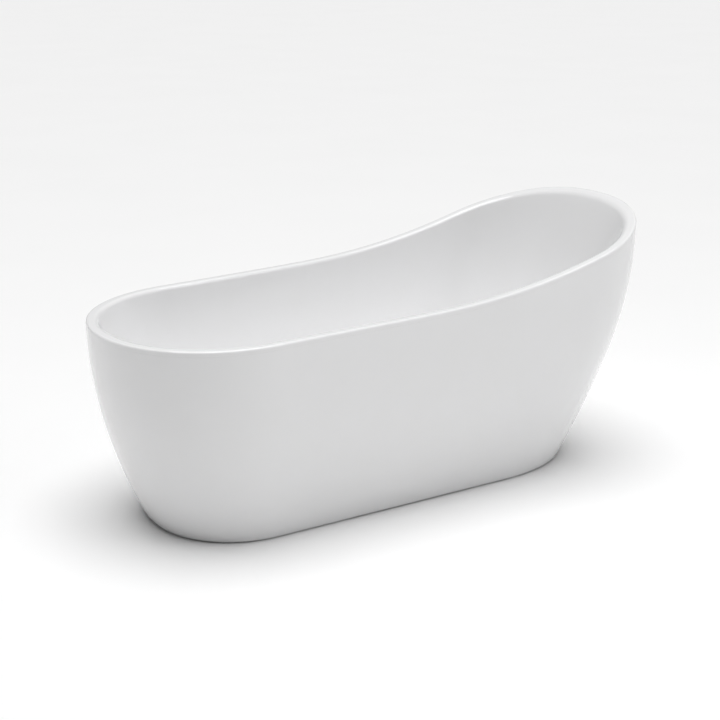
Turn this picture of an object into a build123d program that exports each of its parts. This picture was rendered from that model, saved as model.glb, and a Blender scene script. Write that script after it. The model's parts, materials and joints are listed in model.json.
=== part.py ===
"""Freestanding slipper bath, built as separate pieces.

Units are millimetres. The origin is on the floor under the middle of the bath, +Z is up,
+X points to the raised end that the bather leans on, and the bath is symmetric about Y = 0.
The drain and the overflow are at the low end, -X.
"""

import os
from math import atan2, cos, hypot, pi, radians, sin, sqrt, tan

from build123d import *

# Overall size
LENGTH = 1700.0
LOW_RIM = 571.0  # rim height at the low end
RIM_SLOPE = 38.0  # steady climb of the rim from end to end
RIM_RISE = 174.0  # extra climb of the raised end
RISE_START = -20.0  # X where the raised end starts to climb
RISE_SOFTNESS = 0.16
RIM_WIDTH = 32.0
RIM_ROUNDING = 2.8

# Outline of the outer shell at the rim and at the floor: end, centre of the end's curve,
# half width beside it and exponent of the end's curve, low end first
RIM_PLAN = dict(ends=(850.0, 850.0), centres=(-500.0, 545.0), halves=(360.0, 375.0), powers=(2.08, 2.21))
BASE_PLAN = dict(ends=(710.0, 665.0), centres=(-455.0, 300.0), halves=(260.0, 260.0), powers=(2.14, 2.15))
# Flare of the outer wall at the floor and at the rim: low end, side, raised end
OUTER_FLARE = ((2.06, 0.03), (1.77, -0.20), (1.77, 0.03))

# Bathing well: where its walls would meet its floor, and the corner that rounds them
FLOOR_TOP = 150.0
WELL_PLAN = dict(ends=(640.0, 455.0), centres=(-420.0, 215.0), halves=(215.0, 215.0), powers=(2.3, 2.3))
WELL_FLARE = ((1.30, 0.72), (1.35, 0.70), (1.05, 0.95))
WELL_CORNER = 80.0

# Shell thicknesses
APRON_WALL = 5.0
BASIN_WALL = 6.0
BASIN_FLOOR = 8.0
DECK = 6.0
LIP_DEPTH = 14.0  # the basin's rim turns down this far over the apron
BOND_LINE = 0.2
BEAD_WIDTH = 7.0
BEAD_DEPTH = 6.0  # the bonding bead reaches this far below the lip
APRON_FOOT = 4.0  # gap between the apron and the floor
RETURN_WIDTH = 25.0
RETURN_THICK = 5.0

# Underframe of square tube
TUBE = 30.0
TUBE_WALL = 2.0
TUBE_ROUNDING = 3.0
BOARD_THICK = 18.0
BOARD = (-560.0, 380.0, 135.0, 60.0)  # low X, high X, half width, corner radius
RAIL_Y = 110.0
RAIL_ENDS = (-560.0, 380.0)
CROSS_X = (-370.0, 0.0, 400.0)
CROSS_HALF = 215.0
BOARD_TOP = FLOOR_TOP - BASIN_FLOOR
RAIL_TOP = BOARD_TOP - BOARD_THICK
CROSS_TOP = RAIL_TOP - TUBE
CROSS_BOTTOM = CROSS_TOP - TUBE

# Screws of the base board: four along each rail, with an access hole under each
BOARD_SCREWS = 4
SCREW_MARGIN = 60.0
SCREW_REACH = 12.0  # into the board
SCREW_R = 2.4
SCREW_HEAD_R = 5.0
SCREW_HEAD = 3.0
SCREW_ACCESS_R = 7.0

# Steel angles from the cross rails to timber blocks inside the apron
BLOCK_Y = 243.0
BLOCK_LEVELS = (60.0, 104.0)
BLOCK_SIZE = (60.0, 80.0)
BRACKET_PLATE = 3.0
BRACKET_WIDTH = 40.0
BRACKET_ARM = 60.0
RAIL_SCREW_Y = 200.0
RAIL_SCREW_HEAD_R = 6.0
BLOCK_SCREW_Z = 76.0
BLOCK_SCREW_REACH = 20.0

# Levelling feet, M12
FOOT_Y = 165.0
FEET = [(x, y) for x in (CROSS_X[0], CROSS_X[2]) for y in (-FOOT_Y, FOOT_Y)] + [(CROSS_X[1], 0.0)]
STUD_R = 6.0
RUNNING = 0.05  # radial clearance of a running fit
NUT_FLATS = 19.0
NUT_HEIGHT = 10.0
LOCK_NUT_HEIGHT = 7.0
LOCK_NUT_GAP = 0.2
PAD_R = 25.0
PAD_EDGE = 5.0
PAD_CONE = 10.0
PAD_NECK_R = 13.0
SOLE_THICK = 3.0
STUD_HEAD_R = 8.0
STUD_HEAD = (8.0, 14.0)  # levels of the socket for the stud's head
STUD_NECK_R = 4.5
GRIP_FLATS = 17.0
GRIP = (22.0, 30.0)
STUD_TOP = 108.0

# Drain, on a vertical axis through DRAIN_X
DRAIN_X = -480.0
DRAIN_BODY_R = 24.0
DRAIN_BORE_R = 21.0
DRAIN_BODY_LOW = 84.0
DRAIN_FLANGE_R = 35.0
FLANGE_PROUD = 1.0  # above the well's floor
FLANGE_THICK = 3.0
RECESS_DEPTH = 3.0
SEAT_LOW_R = 22.0  # bevelled seat of the plug's seal
SEAT_HIGH_R = 27.0
SEAT_DEPTH = 4.0
CROSS = (118.0, 124.0)  # levels of the cross that holds the plug's barrel
CROSS_WEB = 5.0
HUB_R = 11.0
HUB_BORE_R = 8.0
BOARD_HOLE_R = 58.0
LOW_GASKET_R = 36.0
LOW_GASKET = 4.0
FRICTION_WASHER = 1.5
DRAIN_NUT_FLATS = 72.0
DRAIN_NUT_HEIGHT = 12.5

# Tee under the drain, and the tailpiece held in its foot by a slip nut
TEE_R = 28.0
TEE_LEVELS = (62.0, 118.0)
TEE_FOOT_R = 25.0
TEE_FOOT_LOW = 52.0
TEE_BORE_R = 22.0
GRIP_RING_LEVELS = (97.0, 105.0, 113.0)
INLET_Z = 78.0
INLET_LENGTH = 56.0
PIPE_R = 15.0
PIPE_BORE_R = 12.5
TAIL_R = 20.0
TAIL_WALL = 2.0
TAIL_END = 14.0
TAIL_CLEAR_TOP = 43.0  # top of the tailpiece's full-size wall
TAIL_NECK_R = 19.0
TAIL_TOP = 51.0
TAIL_FLANGE_R = 24.5
SLIP_NUT_FLATS = 58.0
SLIP_NUT = (44.0, 47.0, 57.0)  # underside, step and top

# Plug: a push button that latches in a barrel held by the drain's cross
PLUG_TRAVEL = 10.0
BARREL_R = 7.95
BARREL = (90.0, 140.0)
BARREL_BORE_R = 6.0
BARREL_FLANGE_R = 10.0
BARREL_CLOSURE = 3.0
SPRING = (93.2, 133.8)
SPRING_R = 5.4
SPRING_BORE_R = 3.9
STEM = (130.0, 158.0)
STEM_R = 3.3
STEM_COLLAR_R = 5.7
STEM_COLLAR = (134.0, 136.7)
CAP_R = 31.0
CAP_DOME_R = 85.0
CAP_HEIGHT = 6.0
CAP_GAP = 1.5  # under the pressed cap
CAP_BOSS_R = 18.9
CAP_BOSS = 3.5
SEAL_R = 23.4

# Overflow, square to the low end's inner wall; depths are measured from the wall's face,
# positive into the well
OVERFLOW_Z = 495.0
OVERFLOW_BODY_R = 19.0
OVERFLOW_WALL = 2.5
OVERFLOW_FLANGE_R = 30.0
OVERFLOW_FLANGE = (1.6, 4.0)
OVERFLOW_TAIL = -26.0
COVER_R = 36.0
COVER_DEPTHS = (4.0, 5.0, 10.0, 12.0)  # skirt, plate's edge, inside face and outside face
COVER_CHAMFER = 1.5
SLOT_PITCH = 14.0
SLOT_X = -22.0
COVER_SCREW_R = 3.0
SPIGOT_DEPTH = 28.0  # spigot axis behind the face of the wall
SPIGOT_LENGTH = 60.0
CHAMBER_R = 24.0
CHAMBER = (-43.0, -11.0)
CHAMBER_FLANGE_R = 34.0
CHAMBER_FLANGE = 4.0

# Overflow hose
HOSE_R = 18.0
HOSE_BORE_R = 15.1
HOSE_CORNERS = [(-655.0, 90.0), (-712.0, 138.0), (-744.0, 213.0), (-766.0, 300.0)]  # X and Z
HOSE_ENTRY = 30.0  # the hose starts this far from the drain's axis
HOSE_STRAIGHT = 75.0
HOSE_TOP = 36.0  # the hose ends this far below the elbow's middle
HOSE_BEND = 0.45  # share of the shorter leg that a bend takes
CLAMP_WIDTH = 9.0
CLAMP_BAND = 0.8
CLAMP_INSET = 8.0

RIBS_PER_QUARTER = 9
RIBS_PER_SIDE = 5
FAR = 1000.0


# ---- Form of the shells -------------------------------------------------------------


def hermite(u, start, end):
    """Rise from 0 to 1 with a set slope at each end, carried on straight past 1."""
    if u > 1:
        return 1 + end * (u - 1)
    if u < 0:
        return start * u
    return start * (u - 2 * u**2 + u**3) + 3 * u**2 - 2 * u**3 + end * (u**3 - u**2)


def rim_height(x):
    """Height of the rim's top: nearly level, then sweeping up to the raised end."""
    half = LENGTH / 2
    along = (x - RISE_START) / (half - RISE_START)
    ramp = (along + sqrt(along**2 + RISE_SOFTNESS**2)) / (1 + sqrt(1 + RISE_SOFTNESS**2))
    return LOW_RIM + RIM_SLOPE * (x + half) / LENGTH + RIM_RISE * ramp**2


def rib_angles():
    """One entry a rib, from the raised end round to the low end: end, angle, share of side."""
    quarter = [i * pi / 2 / (RIBS_PER_QUARTER - 1) for i in range(RIBS_PER_QUARTER)]
    side = [(i + 1) / (RIBS_PER_SIDE + 1) for i in range(RIBS_PER_SIDE)]
    ribs = [(1, angle, 0.0) for angle in quarter]
    ribs += [(None, pi / 2, share) for share in side]
    ribs += [(0, angle, 1.0) for angle in reversed(quarter)]
    return ribs


def plan_points(plan, inset):
    """Half outline, Y >= 0, as one (x, y) a rib."""
    points = []
    for end, angle, share in rib_angles():
        if end is None:
            low, high = plan["centres"]
            blend = (1 - share) ** 2 * (1 + 2 * share)
            half = plan["halves"][0] + (plan["halves"][1] - plan["halves"][0]) * blend
            points.append((high + (low - high) * share, half - inset))
            continue
        centre = plan["centres"][end]
        power = 2 / plan["powers"][end]
        reach = plan["ends"][end] - inset - abs(centre)
        sign = 1 if end else -1
        x = centre + sign * reach * max(cos(angle), 0.0) ** power
        points.append((x, (plan["halves"][end] - inset) * sin(angle) ** power))
    return points


def shell_points(base_plan, flare, z, floor_z, inset):
    """Half outline of a flared shell where the level z cuts it."""
    rim = plan_points(RIM_PLAN, 0.0 if floor_z == 0 else RIM_WIDTH)
    base = plan_points(base_plan, 0.0)
    rim_in = plan_points(RIM_PLAN, inset if floor_z == 0 else RIM_WIDTH + inset)
    base_in = plan_points(base_plan, inset)
    points = []
    for i, (end, angle, _) in enumerate(rib_angles()):
        u = (z - floor_z) / (rim_height(rim[i][0]) - floor_z)
        weight = cos(angle) ** 2
        tip = flare[1] if end is None else flare[2 * end]
        start = flare[1][0] + (tip[0] - flare[1][0]) * weight
        stop = flare[1][1] + (tip[1] - flare[1][1]) * weight
        out = hermite(u, start, stop)
        x = base_in[i][0] + (rim_in[i][0] - base_in[i][0]) * out
        y = base_in[i][1] + (rim_in[i][1] - base_in[i][1]) * out
        points.append((x, y))
    return points


def rib_parameters():
    """Spline parameter of each rib, shared by every section, so that the lofts run true."""
    points = plan_points(RIM_PLAN, 0.0)
    along = [0.0]
    for (x0, y0), (x1, y1) in zip(points, points[1:]):
        along.append(along[-1] + hypot(x1 - x0, y1 - y0))
    return [a / along[-1] for a in along]


def half_outline(points, z, side):
    """Spline through one half of an outline, square to the plane of symmetry at both ends."""
    along = rib_parameters()
    tips = []
    for first, second, sign in ((0, 1, 1), (-2, -1, -1)):
        chord = hypot(points[second][0] - points[first][0], points[second][1] - points[first][1])
        tips.append(Vector(0, sign * side * chord / (along[second] - along[first]), 0))
    corners = [Vector(x, side * y, z) for x, y in points]
    return Edge.make_spline(corners, tangents=tips, parameters=along, scale=False)


def section(points, z):
    """Closed outline at level z from its half."""
    return Wire([half_outline(points, z, side) for side in (1, -1)])


def outer_form(inset):
    """Solid inside the outer shell, running on above the rim and below the floor."""
    overrun = 10 + inset
    levels = [-overrun, 60, 140, 240, 350, 460, 560, 660, 760, 860 + overrun]
    return Solid.make_loft([section(shell_points(BASE_PLAN, OUTER_FLARE, z, 0, inset), z) for z in levels])


def well_form(grow, floor_z):
    """Solid that fills the bathing well, with a rounded corner round its floor."""
    corner = WELL_CORNER + grow
    steps = 8
    sections = []
    for i in range(steps + 1):
        angle = pi / 2 * i / steps
        z = floor_z + corner * (1 - cos(angle))
        inset = corner * (1 - sin(angle)) - grow
        sections.append(section(shell_points(WELL_PLAN, WELL_FLARE, z, FLOOR_TOP, inset), z))
    for z in (290, 360, 440, 530, 630, 740, 860):
        sections.append(section(shell_points(WELL_PLAN, WELL_FLARE, z, FLOOR_TOP, -grow), z))
    return Solid.make_loft(sections)


def below_rim(drop):
    """Everything lower than the rim's top less a drop."""
    count = 14
    xs = [-LENGTH / 2 - 50 + i * (LENGTH + 100) / count for i in range(count + 1)]
    top = Edge.make_spline([Vector(x, 0, rim_height(x) - drop) for x in xs])
    low = -60
    corners = [top @ 1, Vector(xs[-1], 0, low), Vector(xs[0], 0, low), top @ 0]
    edges = [top] + [Edge.make_line(a, b) for a, b in zip(corners, corners[1:])]
    face = Face(Wire(edges))
    return extrude(face, FAR / 2, both=True)


def above(z):
    """Everything higher than z."""
    return Pos(0, 0, z + FAR / 2) * Box(2 * FAR, FAR, FAR)


def tube(radius, bore, low, high):
    """Ring standing on Z from low to high."""
    ring = Cylinder(radius, high - low)
    if bore:
        ring = ring - Cylinder(bore, high - low)
    return Pos(0, 0, (low + high) / 2) * ring


def hexagon(flats, bore, low, high):
    """Hexagonal nut or bar standing on Z from low to high."""
    blank = Pos(0, 0, low) * extrude(RegularPolygon(flats / 2, 6, major_radius=False), high - low)
    return blank - tube(bore, 0, low, high) if bore else blank


def round_rim(shell):
    """Round the top edges of the rim."""
    rim_edges = [e for e in shell.edges() if abs((e @ 0.5).Z - rim_height((e @ 0.5).X)) < 0.5]
    return shell.fillet(RIM_ROUNDING, rim_edges)


def make_shells():
    outer = outer_form(0)
    lining = outer_form(APRON_WALL)
    skin = outer - lining
    cavity = well_form(0, FLOOR_TOP)
    deck = (outer & below_rim(0)) - below_rim(DECK)
    lip = (skin & below_rim(0)) - below_rim(LIP_DEPTH)
    bowl = well_form(BASIN_WALL, FLOOR_TOP - BASIN_FLOOR) & below_rim(DECK / 2)
    basin = deck + lip + bowl - cavity
    drain = Pos(DRAIN_X, 0, 0) * (
        tube(DRAIN_BODY_R + 1, 0, BOARD_TOP - 1, FLOOR_TOP + 1)
        + tube(DRAIN_FLANGE_R + 2, 0, FLOOR_TOP - RECESS_DEPTH, FLOOR_TOP + 1)
    )
    basin = basin - drain - overflow_plane() * tube(OVERFLOW_BODY_R + 1, 0, -20, 20)
    wall = (skin & below_rim(LIP_DEPTH + BOND_LINE)) & above(APRON_FOOT)
    floor_return = (outer - outer_form(RETURN_WIDTH)) & above(APRON_FOOT)
    floor_return = floor_return - above(APRON_FOOT + RETURN_THICK)
    bead = (lining - outer_form(APRON_WALL + BEAD_WIDTH)) & below_rim(DECK)
    bead = bead - below_rim(LIP_DEPTH + BEAD_DEPTH) - well_form(BASIN_WALL, FLOOR_TOP - BASIN_FLOOR)
    return {"basin": round_rim(basin), "apron": wall + floor_return, "rim_bond": bead}, lining


# ---- Underframe ---------------------------------------------------------------------


def square_tube(length):
    """Square tube along X, centred."""
    inside = TUBE - 2 * TUBE_WALL
    blank = fillet(Box(length, TUBE, TUBE).edges().filter_by(Axis.X), TUBE_ROUNDING)
    bore = fillet(Box(length + 2, inside, inside).edges().filter_by(Axis.X), TUBE_ROUNDING - TUBE_WALL)
    return blank - bore


def make_frame(lining):
    """Board, two long rails, three cross rails and the board's screws."""
    low, high, half, corner = BOARD
    board = extrude(RectangleRounded(high - low, 2 * half, corner), BOARD_THICK)
    board = Pos((low + high) / 2, 0, RAIL_TOP) * board
    board = board - Pos(DRAIN_X, 0, 0) * tube(BOARD_HOLE_R, 0, RAIL_TOP, BOARD_TOP)
    rail_low, rail_high = RAIL_ENDS
    rail_middle = (rail_low + rail_high) / 2
    pitch = (rail_high - rail_low - 2 * SCREW_MARGIN) / (BOARD_SCREWS - 1)
    screw_x = [rail_low + SCREW_MARGIN + i * pitch for i in range(BOARD_SCREWS)]
    parts = {}
    screws = []
    for name, side in (("frame_rail_left", -1), ("frame_rail_right", 1)):
        rail = Pos(rail_middle, side * RAIL_Y, RAIL_TOP - TUBE / 2) * square_tube(rail_high - rail_low)
        for x in screw_x:
            place = Pos(x, side * RAIL_Y, 0)
            rail = rail - place * tube(SCREW_R + 0.2, 0, RAIL_TOP - 5, RAIL_TOP + 1)
            rail = rail - place * tube(SCREW_ACCESS_R, 0, RAIL_TOP - TUBE - 1, RAIL_TOP - TUBE + 5)
            board = board - place * tube(SCREW_R, 0, RAIL_TOP - 1, RAIL_TOP + SCREW_REACH)
            head_top = RAIL_TOP - TUBE_WALL
            head = tube(SCREW_HEAD_R, 0, head_top - SCREW_HEAD, head_top)
            screws.append(place * (head + tube(SCREW_R, 0, head_top - 1, RAIL_TOP + SCREW_REACH)))
        parts[name] = rail
    parts["base_board"] = board
    parts["board_screws"] = Compound(screws)
    for name, x in zip(("cross_rail_low_end", "cross_rail_middle", "cross_rail_raised_end"), CROSS_X):
        bar = Pos(x, 0, CROSS_TOP - TUBE / 2) * Rot(0, 0, 90) * square_tube(2 * CROSS_HALF)
        for foot_x, foot_y in FEET:
            bar = bar - Pos(foot_x, foot_y, 0) * tube(STUD_R + 0.5, 0, CROSS_BOTTOM - 1, CROSS_TOP + 1)
        parts[name] = bar
    parts.update(make_apron_brackets(lining))
    return parts


def apron_bracket(x, lining):
    """Timber block, steel angle and two screws on the +Y side, at one cross rail."""
    low, high = BLOCK_LEVELS
    along, deep = BLOCK_SIZE
    face = Pos(x, BLOCK_Y, BLOCK_SCREW_Z) * Rot(-90, 0, 0)
    blank = Pos(x, BLOCK_Y, low) * Box(along, deep, high - low, align=(Align.CENTER, Align.MIN, Align.MIN))
    block = (blank & lining) - face * tube(SCREW_R, 0, -1, BLOCK_SCREW_REACH - BRACKET_PLATE)
    upright = Box(BRACKET_WIDTH, BRACKET_PLATE, high - low)
    upright = Pos(x, BLOCK_Y - BRACKET_PLATE / 2, (low + high) / 2) * upright
    arm = Box(BRACKET_WIDTH, BRACKET_ARM, BRACKET_PLATE)
    arm = Pos(x, BLOCK_Y - BRACKET_ARM / 2, CROSS_TOP + BRACKET_PLATE / 2) * arm
    bracket = upright + arm - face * tube(SCREW_R + 0.2, 0, -5, 5)
    arm_top = CROSS_TOP + BRACKET_PLATE
    rail_screw = Pos(x, RAIL_SCREW_Y, 0) * tube(RAIL_SCREW_HEAD_R, 0, arm_top, arm_top + SCREW_HEAD)
    block_screw = tube(SCREW_HEAD_R, 0, -SCREW_HEAD, 0) + tube(SCREW_R, 0, 0, BLOCK_SCREW_REACH)
    block_screw = Pos(x, BLOCK_Y - BRACKET_PLATE, BLOCK_SCREW_Z) * Rot(-90, 0, 0) * block_screw
    return block, bracket, rail_screw, block_screw


def make_apron_brackets(lining):
    """The four brackets, numbered from the low end, -Y first."""
    parts = {}
    screws = []
    for x in (CROSS_X[0], CROSS_X[2]):
        for side in (-1, 1):
            pieces = apron_bracket(x, lining)
            if side < 0:
                pieces = [mirror(piece, Plane.XZ) for piece in pieces]
            number = len(screws) // 2 + 1
            parts[f"apron_block_{number}"] = pieces[0]
            parts[f"apron_bracket_{number}"] = pieces[1]
            screws += pieces[2:]
    parts["bracket_screws"] = Compound(screws)
    return parts


# ---- Levelling feet -----------------------------------------------------------------


def foot_pad():
    """Swivel foot: a cone with a socket for the stud's head."""
    low, high = STUD_HEAD
    edge_top = SOLE_THICK + PAD_EDGE
    body = tube(PAD_R, 0, SOLE_THICK, edge_top)
    body += Pos(0, 0, edge_top + PAD_CONE / 2) * Cone(PAD_R - 2, PAD_NECK_R, PAD_CONE)
    socket = tube(STUD_HEAD_R + RUNNING, 0, low, high)
    socket += tube(STUD_NECK_R + RUNNING, 0, high - 1, edge_top + PAD_CONE + 1)
    return body - socket


def foot_stud():
    """Threaded stud with a round head in the foot and a hexagon for a spanner."""
    low, high = STUD_HEAD
    grip_low, grip_high = GRIP
    head = tube(STUD_HEAD_R, 0, low + RUNNING, high - RUNNING)
    neck = tube(STUD_NECK_R, 0, high - 1, grip_low + 1)
    grip = hexagon(GRIP_FLATS, 0, grip_low, grip_high)
    shank = tube(STUD_R, 0, grip_high - 1, STUD_TOP)
    return head + neck + grip + chamfer(shank.edges().sort_by(Axis.Z)[-1], 1)


def make_feet():
    """Weld nuts under the cross rails, lock nuts, and five feet with their studs."""
    bore = STUD_R + RUNNING
    nut_low = CROSS_BOTTOM - NUT_HEIGHT
    lock_top = nut_low - LOCK_NUT_GAP
    nut = hexagon(NUT_FLATS, bore, nut_low, CROSS_BOTTOM)
    lock = hexagon(NUT_FLATS, bore, lock_top - LOCK_NUT_HEIGHT, lock_top)
    parts = {
        "weld_nuts": Compound([Pos(x, y, 0) * nut for x, y in FEET]),
        "lock_nuts": Compound([Pos(x, y, 0) * lock for x, y in FEET]),
    }
    for i, (x, y) in enumerate(FEET, 1):
        place = Pos(x, y, 0)
        parts[f"foot_sole_{i}"] = place * tube(PAD_R, 0, 0, SOLE_THICK)
        parts[f"foot_pad_{i}"] = place * foot_pad()
        parts[f"foot_stud_{i}"] = place * foot_stud()
    return parts


# ---- Drain and plug -----------------------------------------------------------------


def drain_flange():
    """Flanged body through the floor, with a bevelled seat and a cross that holds the plug's barrel."""
    top = FLOOR_TOP + FLANGE_PROUD
    low, high = CROSS
    body = tube(DRAIN_BODY_R, DRAIN_BORE_R, DRAIN_BODY_LOW, FLOOR_TOP - 1)
    rim = tube(DRAIN_FLANGE_R, 0, top - FLANGE_THICK, top)
    seat = Pos(0, 0, top - SEAT_DEPTH / 2) * Cone(SEAT_LOW_R, SEAT_HIGH_R, SEAT_DEPTH)
    reach = 2 * DRAIN_BORE_R + 2
    cross = Box(reach, CROSS_WEB, high - low) + Box(CROSS_WEB, reach, high - low)
    cross = Pos(0, 0, (low + high) / 2) * cross + tube(HUB_R, 0, low, high)
    return body + rim - seat + cross - tube(HUB_BORE_R, 0, low - 1, high + 1)


def drain_tee():
    """Body under the nut: open top and bottom, with the overflow's inlet on the low side."""
    low, high = TEE_LEVELS
    inlet_axis = Pos(0, 0, INLET_Z) * Rot(0, -90, 0)
    body = tube(TEE_R, 0, low, high) + tube(TEE_FOOT_R, 0, TEE_FOOT_LOW, low)
    body += inlet_axis * tube(PIPE_R, 0, 0, INLET_LENGTH)
    body = sum([tube(TEE_R + 1.5, TEE_R - 1, z, z + 3) for z in GRIP_RING_LEVELS], body)
    socket = tube(DRAIN_BODY_R + RUNNING, 0, DRAIN_BODY_LOW - 1, high + 1)
    bore = tube(TEE_BORE_R, 0, TEE_FOOT_LOW - 1, DRAIN_BODY_LOW)
    return body - socket - bore - inlet_axis * tube(PIPE_BORE_R, 0, 0, INLET_LENGTH + 1)


def tailpiece():
    """Outlet pipe: full size below, slimmer through the slip nut, with a flange on top."""
    bore = TAIL_R - TAIL_WALL
    pipe = tube(TAIL_R, bore, TAIL_END, TAIL_CLEAR_TOP)
    pipe += tube(TAIL_NECK_R, bore, TAIL_CLEAR_TOP - 1, TAIL_TOP)
    return pipe + tube(TAIL_FLANGE_R, bore, TAIL_TOP - 3, TAIL_TOP)


def slip_nut():
    """Nut that holds the tailpiece's flange to the foot of the tee."""
    low, step, high = SLIP_NUT
    upper = hexagon(SLIP_NUT_FLATS, TEE_FOOT_R + RUNNING, step, high)
    return upper + hexagon(SLIP_NUT_FLATS, TAIL_R + 0.4, low, step + 0.9)


def plug_barrel():
    """Barrel of the push button, closed below and drawn in above round the stem."""
    low, high = BARREL
    cross_top = CROSS[1]
    barrel = tube(BARREL_R, BARREL_BORE_R, low, high)
    barrel += tube(BARREL_FLANGE_R, BARREL_BORE_R + 1, cross_top, cross_top + 3)
    barrel += tube(BARREL_R - 0.05, STEM_R + 0.3, high - BARREL_CLOSURE, high)
    return barrel + tube(BARREL_R - 0.05, 0, low, low + BARREL_CLOSURE)


def plug_cap():
    """Domed cap with a boss that carries the seal."""
    low = cap_level()
    dome = Pos(0, 0, low + CAP_HEIGHT - CAP_DOME_R) * Sphere(CAP_DOME_R)
    dome = dome & tube(CAP_R, 0, low, low + CAP_HEIGHT + 2)
    return dome + tube(CAP_BOSS_R, 0, low - CAP_BOSS, low)


def cap_level():
    """Underside of the cap with the plug open."""
    return FLOOR_TOP + CAP_GAP + PLUG_TRAVEL


def make_drain():
    """Everything on the drain's axis."""
    washer_top = BOARD_TOP - LOW_GASKET
    nut_top = washer_top - FRICTION_WASHER
    seal_top = cap_level()
    upper_top = FLOOR_TOP + FLANGE_PROUD - FLANGE_THICK
    clear = DRAIN_BODY_R + 0.2
    parts = {
        "drain_flange": drain_flange(),
        "drain_gasket_upper": tube(DRAIN_FLANGE_R - 1, clear, FLOOR_TOP - RECESS_DEPTH, upper_top),
        "drain_gasket_lower": tube(LOW_GASKET_R, clear, washer_top, BOARD_TOP),
        "drain_friction_washer": tube(LOW_GASKET_R, clear, nut_top, washer_top),
        "drain_nut": hexagon(DRAIN_NUT_FLATS, DRAIN_BODY_R + RUNNING, nut_top - DRAIN_NUT_HEIGHT, nut_top),
        "drain_tee": drain_tee(),
        "tailpiece": tailpiece(),
        "tailpiece_washer": tube(TAIL_FLANGE_R, TAIL_R + 0.2, TAIL_TOP, TEE_FOOT_LOW),
        "tailpiece_nut": slip_nut(),
        "plug_barrel": plug_barrel(),
        "plug_spring": tube(SPRING_R, SPRING_BORE_R, *SPRING),
        "plug_stem": tube(STEM_R, 0, *STEM) + tube(STEM_COLLAR_R, 0, *STEM_COLLAR),
        "plug_cap": plug_cap(),
        "plug_seal": tube(SEAL_R, CAP_BOSS_R + 0.1, seal_top - 3, seal_top),
    }
    return {name: Pos(DRAIN_X, 0, 0) * solid for name, solid in parts.items()}


# ---- Overflow -----------------------------------------------------------------------


def well_end(z):
    """X of the well's low end at level z."""
    return shell_points(WELL_PLAN, WELL_FLARE, z, FLOOR_TOP, 0)[-1][0]


def overflow_plane():
    """Plane on the low end's inner wall: Z into the well, X up the wall."""
    step = 5.0
    lean = atan2(well_end(OVERFLOW_Z - step) - well_end(OVERFLOW_Z + step), 2 * step)
    inward = (cos(lean), 0, sin(lean))
    upward = (-sin(lean), 0, cos(lean))
    return Plane(origin=(well_end(OVERFLOW_Z), 0, OVERFLOW_Z), x_dir=upward, z_dir=inward)


def overflow_cover():
    """Round faceplate with three slots under its middle and a screw hole."""
    skirt, edge, inside, face = COVER_DEPTHS
    plate = tube(COVER_R, 0, edge, face) - tube(COVER_R - 2, 0, skirt, inside)
    plate = chamfer(plate.edges().sort_by(Axis.Z)[-1], COVER_CHAMFER)
    for y in (-SLOT_PITCH, 0, SLOT_PITCH):
        plate = plate - Pos(SLOT_X, y, face - 1) * Box(14, 6, 6)
    return plate - tube(COVER_SCREW_R + 0.2, 0, inside - 2, face + 2)


def overflow_flange():
    """Flanged tube through the wall, with a bridge and boss for the cover's screw."""
    bore = OVERFLOW_BODY_R - OVERFLOW_WALL
    low, high = OVERFLOW_FLANGE
    flange = tube(OVERFLOW_BODY_R, bore, OVERFLOW_TAIL, high) + tube(OVERFLOW_FLANGE_R, bore, low, high)
    flange += Pos(0, 0, high - 2.5) * Box(2 * OVERFLOW_BODY_R - 3, 6, 5) + tube(5.5, 0, -1, high)
    return flange - tube(COVER_SCREW_R + RUNNING, 0, -2, high + 1)


def overflow_elbow():
    """Chamber behind the wall with a spigot that points down to the hose."""
    low, high = CHAMBER
    spigot_axis = Pos(0, 0, -SPIGOT_DEPTH) * Rot(0, -90, 0)
    chamber = tube(CHAMBER_R, 0, low, high) + tube(CHAMBER_FLANGE_R, 0, high - CHAMBER_FLANGE, high)
    chamber += spigot_axis * tube(PIPE_R, 0, 0, SPIGOT_LENGTH)
    chamber = chamber - tube(OVERFLOW_BODY_R + RUNNING, 0, low + 4, high + 1)
    return chamber - spigot_axis * tube(PIPE_BORE_R, 0, 0, SPIGOT_LENGTH + 1)


def make_overflow(basin):
    """Cover, screw, flange, gaskets and elbow, placed on the low end's wall."""
    face = COVER_DEPTHS[-1]
    clear = OVERFLOW_BODY_R + 0.2
    screw = tube(COVER_SCREW_R, 0, -4, face - 0.1) + tube(5.5, 0, face, face + 2)
    parts = {
        "overflow_cover": overflow_cover(),
        "overflow_screw": screw + tube(COVER_SCREW_R, 0, face - 1, face + 1),
        "overflow_flange": overflow_flange(),
        "overflow_gasket_inner": tube(OVERFLOW_FLANGE_R, clear, -2, OVERFLOW_FLANGE[0]),
        "overflow_gasket_outer": tube(CHAMBER_FLANGE_R - 1, clear, CHAMBER[1], -4),
        "overflow_elbow": overflow_elbow(),
    }
    placed = {name: overflow_plane() * solid for name, solid in parts.items()}
    for name in ("overflow_gasket_inner", "overflow_gasket_outer"):
        placed[name] = placed[name] - basin
    return placed


# ---- Overflow hose ------------------------------------------------------------------


def hose_route():
    """Corners of the hose's route, from the drain's inlet up to the elbow's spigot."""
    place = overflow_plane()
    spigot = Vector(*place.origin) - place.z_dir * SPIGOT_DEPTH
    start = DRAIN_X - HOSE_ENTRY
    route = [Vector(start, 0, INLET_Z), Vector(start - HOSE_STRAIGHT, 0, INLET_Z)]
    route += [Vector(x, 0, z) for x, z in HOSE_CORNERS]
    return route + [spigot - place.x_dir * (HOSE_TOP + 70), spigot - place.x_dir * HOSE_TOP]


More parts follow.
